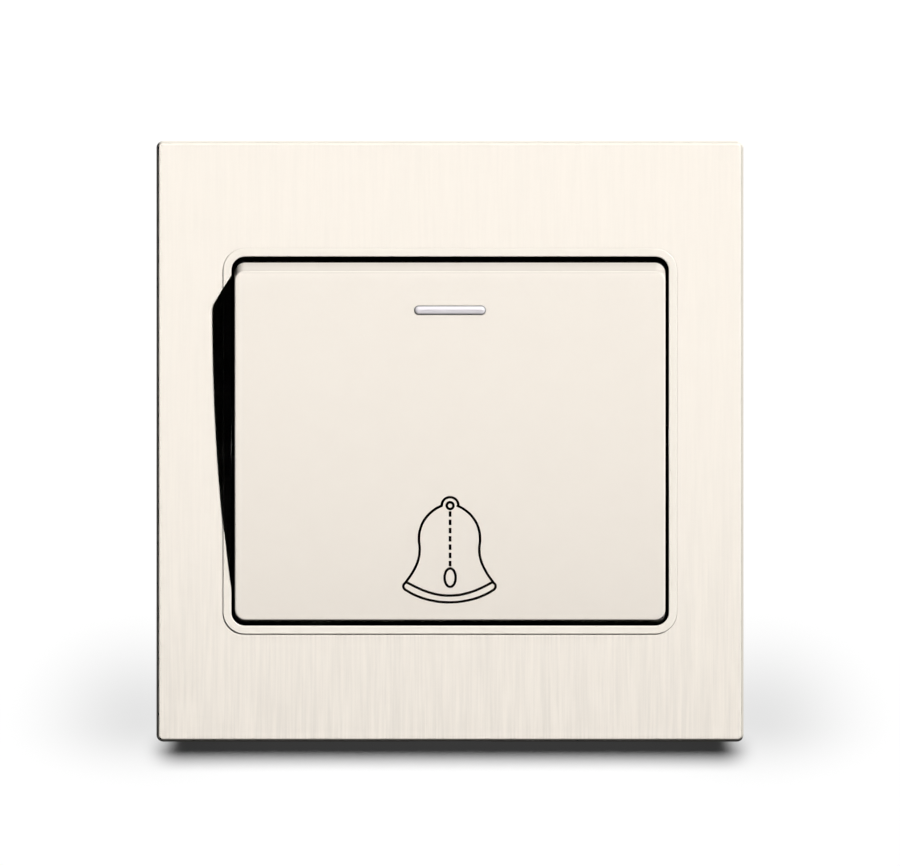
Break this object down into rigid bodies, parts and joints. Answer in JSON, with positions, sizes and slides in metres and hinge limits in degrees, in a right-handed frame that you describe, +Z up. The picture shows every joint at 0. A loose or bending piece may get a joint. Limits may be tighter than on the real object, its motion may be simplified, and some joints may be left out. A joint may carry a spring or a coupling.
{
  "type": "doorbell push button",
  "caption": "Square wall plate with a wide sprung rocker that leans out at the top, an indicator bar and a flush-mounted push contact behind it.",
  "frame": {"origin": "middle of the mounting frame's back, halfway between the two wall screws, on the wall plane", "axes": "X to the right, Y into the wall, Z up; the face looks along -Y"},
  "size_m": [0.086, 0.0367, 0.088],
  "materials": {
    "brushed_plate": "satin, fine upright brushing, warm cream",
    "lip_plastic": "smooth satin",
    "rocker_plastic": "smooth satin",
    "dark_plastic": "moulded, dull",
    "case_plastic": "moulded, dull",
    "cover_plastic": "moulded, dull",
    "cradle_plastic": "moulded, slippery",
    "indicator": "milky, glossy",
    "steel": "zinc-plated",
    "spring_steel": "drawn wire",
    "brass": "stamped sheet",
    "silver": "silver alloy"
  },
  "bodies": {
    "base": {"face_plate": "brushed_plate", "rocker_surround": "lip_plastic", "chassis": "dark_plastic", "mechanism_case": "case_plastic", "mechanism_cover": "cover_plastic", "cover_screws": "steel", "fixed_contact_left": "brass", "fixed_contact_right": "brass", "fixed_tip_left": "silver", "fixed_tip_right": "silver", "terminal_block_left": "brass", "terminal_block_right": "brass", "terminal_screw_left": "steel", "terminal_screw_right": "steel", "return_spring": "spring_steel"},
    "rocker": {"rocker": "rocker_plastic", "indicator_lens": "indicator", "rocker_cradle": "cradle_plastic"},
    "plunger": {"plunger": "cradle_plastic", "contact_bridge": "brass", "contact_spring": "spring_steel", "bridge_tip_left": "silver", "bridge_tip_right": "silver"}
  },
  "joints": [
    {"name": "rocker_pivot", "type": "hinge", "parent": "base", "child": "rocker", "pos_m": [0, -0.0018, 0], "axis": [-1, 0, 0], "range_deg": [0, 8], "stiffness_Nm_per_rad": 0.0324, "springref_deg": -18.91},
    {"name": "plunger_slide", "type": "slide", "parent": "base", "child": "plunger", "axis": [0, 1, 0], "range_m": [0, 0.00126], "deforming": ["return_spring"]}
  ],
  "couplings": [
    {"joint": "plunger_slide", "follows": "rocker_pivot", "m_per_rad": 0.0089927}
  ]
}
